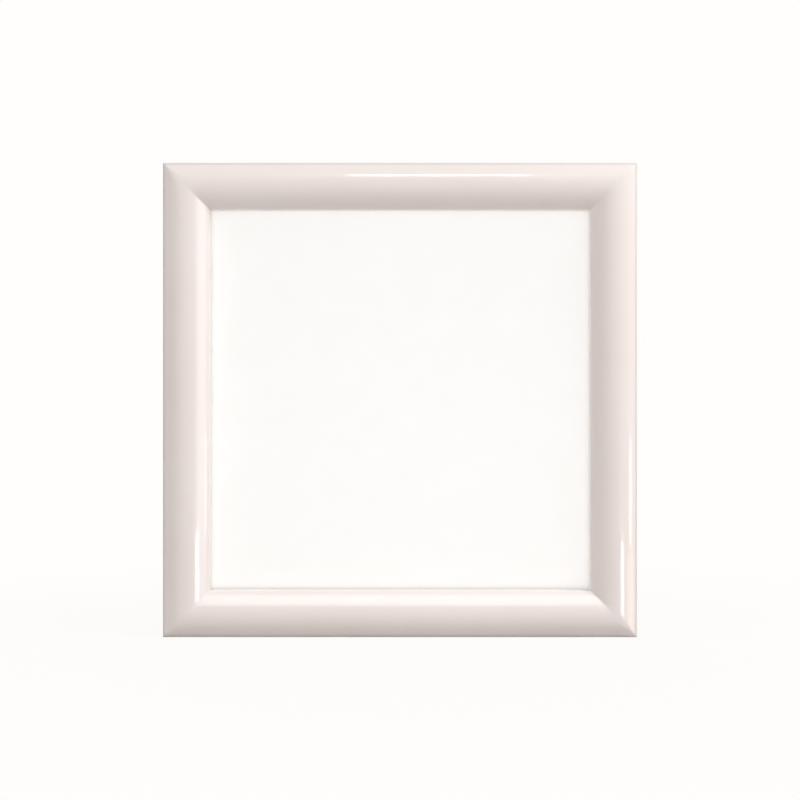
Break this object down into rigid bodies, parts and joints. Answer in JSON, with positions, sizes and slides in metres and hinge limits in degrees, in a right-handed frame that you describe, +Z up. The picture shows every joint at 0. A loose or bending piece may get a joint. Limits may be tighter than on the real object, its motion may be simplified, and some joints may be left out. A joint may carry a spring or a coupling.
{
  "type": "diamond painting frame",
  "caption": "Square gloss white picture frame of half-round mitred rails, with clear pane, blank card, backing board on turn buttons, sawtooth hanger and folding easel strut.",
  "frame": {"origin": "middle of the flat underside of the bottom rail", "axes": "+X to the right as the picture is looked at, +Y from the front to the back, +Z up"},
  "size_m": [0.212, 0.0208, 0.212],
  "materials": {
    "lacquered_moulding": "smooth gloss white lacquer, slightly warm",
    "steel": "bright drawn steel",
    "clear_acrylic": "clear polished sheet",
    "white_card": "plain matt white",
    "grey_card": "grey board, uncoated",
    "hardboard": "brown hardboard, smooth side out",
    "zinc_plate": "zinc plated pressed steel",
    "brass_plate": "brass plated pressed steel"
  },
  "bodies": {
    "frame": {"rail_top": "lacquered_moulding", "rail_bottom": "lacquered_moulding", "rail_left": "lacquered_moulding", "rail_right": "lacquered_moulding", "v_nail_bottom_left_1": "steel", "v_nail_bottom_left_2": "steel", "v_nail_bottom_right_1": "steel", "v_nail_bottom_right_2": "steel", "v_nail_top_right_1": "steel", "v_nail_top_right_2": "steel", "v_nail_top_left_1": "steel", "v_nail_top_left_2": "steel", "clear_pane": "clear_acrylic", "picture_card": "white_card", "filler_card": "grey_card", "backing_board": "hardboard", "button_screw_upper_left": "steel", "button_screw_lower_left": "steel", "button_screw_upper_right": "steel", "button_screw_lower_right": "steel", "sawtooth_hanger": "brass_plate", "hanger_nail_left": "brass_plate", "hanger_nail_right": "brass_plate", "hinge_base_leaf": "zinc_plate", "hinge_pin": "steel", "base_rivet_left": "brass_plate", "base_rivet_right": "brass_plate"},
    "strut": {"easel_strut": "hardboard", "strut_leaf": "zinc_plate", "strut_rivet_left": "brass_plate", "strut_rivet_right": "brass_plate"},
    "button_upper_left": {"turn_button_upper_left": "zinc_plate"},
    "button_lower_left": {"turn_button_lower_left": "zinc_plate"},
    "button_upper_right": {"turn_button_upper_right": "zinc_plate"},
    "button_lower_right": {"turn_button_lower_right": "zinc_plate"}
  },
  "joints": [
    {"name": "strut_hinge", "type": "hinge", "parent": "frame", "child": "strut", "pos_m": [0, 0.00728, 0.152], "axis": [1, 0, 0], "range_deg": [0, 30]},
    {"name": "turn_upper_left", "type": "hinge", "parent": "frame", "child": "button_upper_left", "pos_m": [-0.09825, 0.00608, 0.157], "axis": [0, 1, 0], "continuous": true},
    {"name": "turn_lower_left", "type": "hinge", "parent": "frame", "child": "button_lower_left", "pos_m": [-0.09825, 0.00608, 0.055], "axis": [0, 1, 0], "continuous": true},
    {"name": "turn_upper_right", "type": "hinge", "parent": "frame", "child": "button_upper_right", "pos_m": [0.09825, 0.00608, 0.157], "axis": [0, 1, 0], "continuous": true},
    {"name": "turn_lower_right", "type": "hinge", "parent": "frame", "child": "button_lower_right", "pos_m": [0.09825, 0.00608, 0.055], "axis": [0, 1, 0], "continuous": true}
  ]
}
